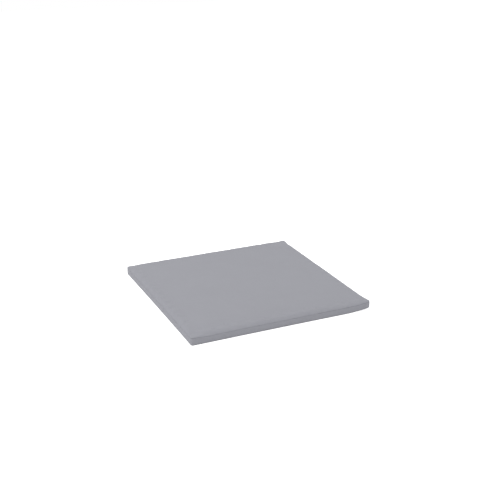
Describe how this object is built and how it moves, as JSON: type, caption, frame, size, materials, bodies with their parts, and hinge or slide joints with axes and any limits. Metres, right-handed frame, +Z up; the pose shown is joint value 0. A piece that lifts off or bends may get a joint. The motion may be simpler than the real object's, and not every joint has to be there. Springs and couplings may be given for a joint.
{
  "type": "kneeling pad",
  "caption": "Thin square kneeling pad: a foam slab in a boxed cloth cover with soft shoulders, and a coil zip with a sliding pull along its back edge.",
  "frame": {"origin": "on the ground under the middle of the pad", "axes": "+Z up through the thickness, -Y the front edge, +Y the back edge with the zip, +X to the right seen from the front"},
  "size_m": [0.45, 0.4537, 0.025],
  "materials": {
    "cover_cloth": "matte",
    "foam": "matte",
    "thread": "matte",
    "zip_tape": "matte",
    "zip_coil": "satin",
    "zip_metal": "satin"
  },
  "bodies": {
    "cover": {"foam_core": "foam", "top_panel": "cover_cloth", "bottom_panel": "cover_cloth", "side_band": "cover_cloth", "upper_seam_needle_thread": "thread", "upper_seam_bobbin_thread": "thread", "lower_seam_needle_thread": "thread", "lower_seam_bobbin_thread": "thread", "zip_end_stitches_left": "thread", "zip_end_stitches_right": "thread", "zip_tape_upper": "zip_tape", "zip_tape_lower": "zip_tape", "zip_coil_upper": "zip_coil", "zip_coil_lower": "zip_coil", "zip_cord_upper": "thread", "zip_cord_lower": "thread", "zip_top_stop_upper": "zip_metal", "zip_top_stop_lower": "zip_metal", "zip_bottom_stop": "zip_metal"},
    "slider": {"zip_slider": "zip_metal"},
    "pull": {"zip_pull": "zip_metal"}
  },
  "joints": [
    {"name": "zip_travel", "type": "slide", "parent": "cover", "child": "slider", "axis": [-1, 0, 0], "range_m": [0, 0.384], "deforming": ["zip_coil_upper", "zip_coil_lower"]},
    {"name": "pull_hinge", "type": "hinge", "parent": "slider", "child": "pull", "pos_m": [0.192, 0.2273, 0.0085], "axis": [0, 0, -1], "range_deg": [0, 175]}
  ]
}
